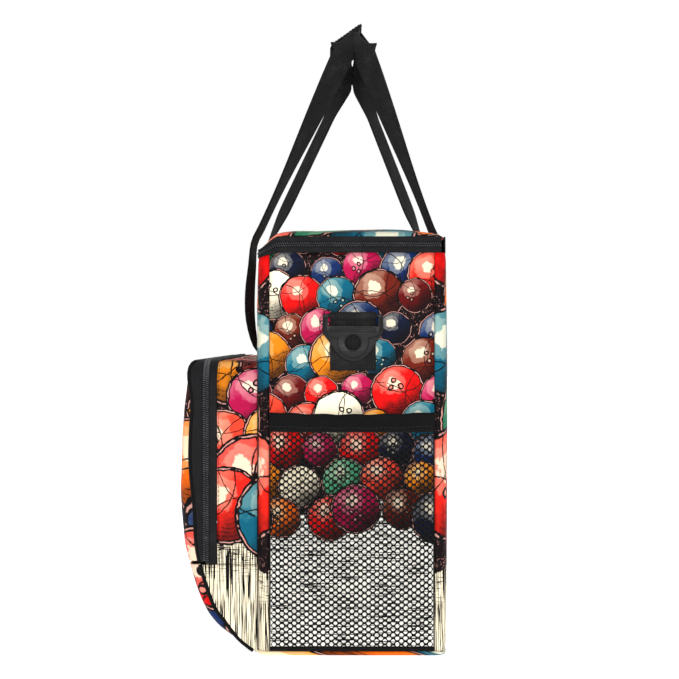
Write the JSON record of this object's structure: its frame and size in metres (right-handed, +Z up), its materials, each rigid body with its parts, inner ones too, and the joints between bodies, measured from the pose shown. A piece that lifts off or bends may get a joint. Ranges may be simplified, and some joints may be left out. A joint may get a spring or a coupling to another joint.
{
  "type": "sports tote bag",
  "caption": "Soft printed end-on tote with zipped crowned lid, zipped front pocket, mesh end pockets, strap loops and two webbing handles.",
  "frame": {"origin": "centre of the main body's base, on the ground", "axes": "+Z up, front pocket towards -X, back panel towards +X, ends at -Y and +Y"},
  "size_m": [0.2282, 0.42, 0.5663],
  "materials": {
    "print": "printed woven polyester",
    "lining": "plain woven lining",
    "board": "matt board",
    "webbing": "woven webbing",
    "zip_tape": "woven tape",
    "zip_coil": "nylon coil",
    "net": "knitted net",
    "moulded": "satin moulded",
    "slider": "black painted",
    "padding": "padded woven"
  },
  "bodies": {
    "bag": {"bottom_panel": "print", "front_panel": "print", "back_panel": "print", "end_panel_near": "print", "end_panel_far": "print", "pocket_gusset_upper": "print", "pocket_gusset_lower_near": "print", "pocket_gusset_lower_far": "print", "pocket_front_lower": "print", "lining": "lining", "base_board": "board", "mesh_binding_near": "webbing", "mesh_binding_far": "webbing", "anchor_tab_near": "webbing", "anchor_tab_far": "webbing", "pocket_piping_lower_near": "webbing", "pocket_piping_lower_far": "webbing", "front_strap_near": "webbing", "front_strap_far": "webbing", "back_strap_near": "webbing", "back_strap_far": "webbing", "rim_tape": "zip_tape", "hinge_strip": "zip_tape", "pocket_tape_inner": "zip_tape", "rim_coil": "zip_coil", "pocket_coil_inner": "zip_coil", "mesh_pocket_near": "net", "mesh_pocket_far": "net"},
    "lid": {"lid_panel": "print", "lid_tape": "zip_tape", "lid_coil": "zip_coil"},
    "front_handle": {"front_handle": "webbing", "front_grip_pad": "padding"},
    "back_handle": {"back_handle": "webbing", "back_grip_pad": "padding"},
    "grip_flap": {"grip_flap": "padding"},
    "strap_loop_near": {"strap_loop_near": "moulded"},
    "strap_loop_far": {"strap_loop_far": "moulded"},
    "pocket_flap": {"pocket_front_upper": "print", "pocket_piping_upper": "webbing", "pocket_tape_outer": "zip_tape", "pocket_coil_outer": "zip_coil"},
    "main_slider": {"main_slider": "slider"},
    "main_puller": {"main_puller": "slider"},
    "pocket_slider": {"pocket_slider": "slider"},
    "pocket_puller": {"pocket_puller": "slider"}
  },
  "joints": [
    {"name": "lid_open", "type": "hinge", "parent": "bag", "child": "lid", "pos_m": [0.0785, 0, 0.347], "axis": [0, 1, 0], "range_deg": [0, 105]},
    {"name": "front_handle_fold", "type": "hinge", "parent": "bag", "child": "front_handle", "pos_m": [-0.0905, 0, 0.35], "axis": [0, -1, 0], "range_deg": [0, 150]},
    {"name": "back_handle_fold", "type": "hinge", "parent": "bag", "child": "back_handle", "pos_m": [0.0811, 0, 0.35], "axis": [0, 1, 0], "range_deg": [0, 150]},
    {"name": "grip_flap_open", "type": "hinge", "parent": "front_handle", "child": "grip_flap", "pos_m": [-0.0174, 0, 0.5378], "axis": [0, -1, 0], "range_deg": [0, 120]},
    {"name": "strap_loop_near_swing", "type": "hinge", "parent": "bag", "child": "strap_loop_near", "pos_m": [0.0008, -0.2045, 0.2815], "axis": [-1, 0, 0], "range_deg": [0, 85]},
    {"name": "strap_loop_far_swing", "type": "hinge", "parent": "bag", "child": "strap_loop_far", "pos_m": [0.0008, 0.2045, 0.2815], "axis": [1, 0, 0], "range_deg": [0, 85]},
    {"name": "pocket_flap_open", "type": "hinge", "parent": "bag", "child": "pocket_flap", "pos_m": [-0.1335, 0, 0.0756], "axis": [0, -1, 0], "range_deg": [0, 100]},
    {"name": "main_slider_travel", "type": "slide", "parent": "bag", "child": "main_slider", "axis": [-1, 0, 0], "range_m": [0, 0.125]},
    {"name": "main_puller_flip", "type": "hinge", "parent": "main_slider", "child": "main_puller", "pos_m": [0.067, 0.2043, 0.3405], "axis": [0, 0, -1], "range_deg": [0, 150]},
    {"name": "pocket_slider_travel", "type": "slide", "parent": "bag", "child": "pocket_slider", "axis": [0, 0, 1], "range_m": [0, 0.13]},
    {"name": "pocket_puller_flip", "type": "hinge", "parent": "pocket_slider", "child": "pocket_puller", "pos_m": [-0.12155, 0.1993, 0.0855], "axis": [1, 0, 0], "range_deg": [0, 150]}
  ],
  "couplings": [
    {"joint": "front_handle_fold", "follows": "lid_open", "ratio": 1.25},
    {"joint": "back_handle_fold", "follows": "lid_open", "ratio": 1.25}
  ]
}
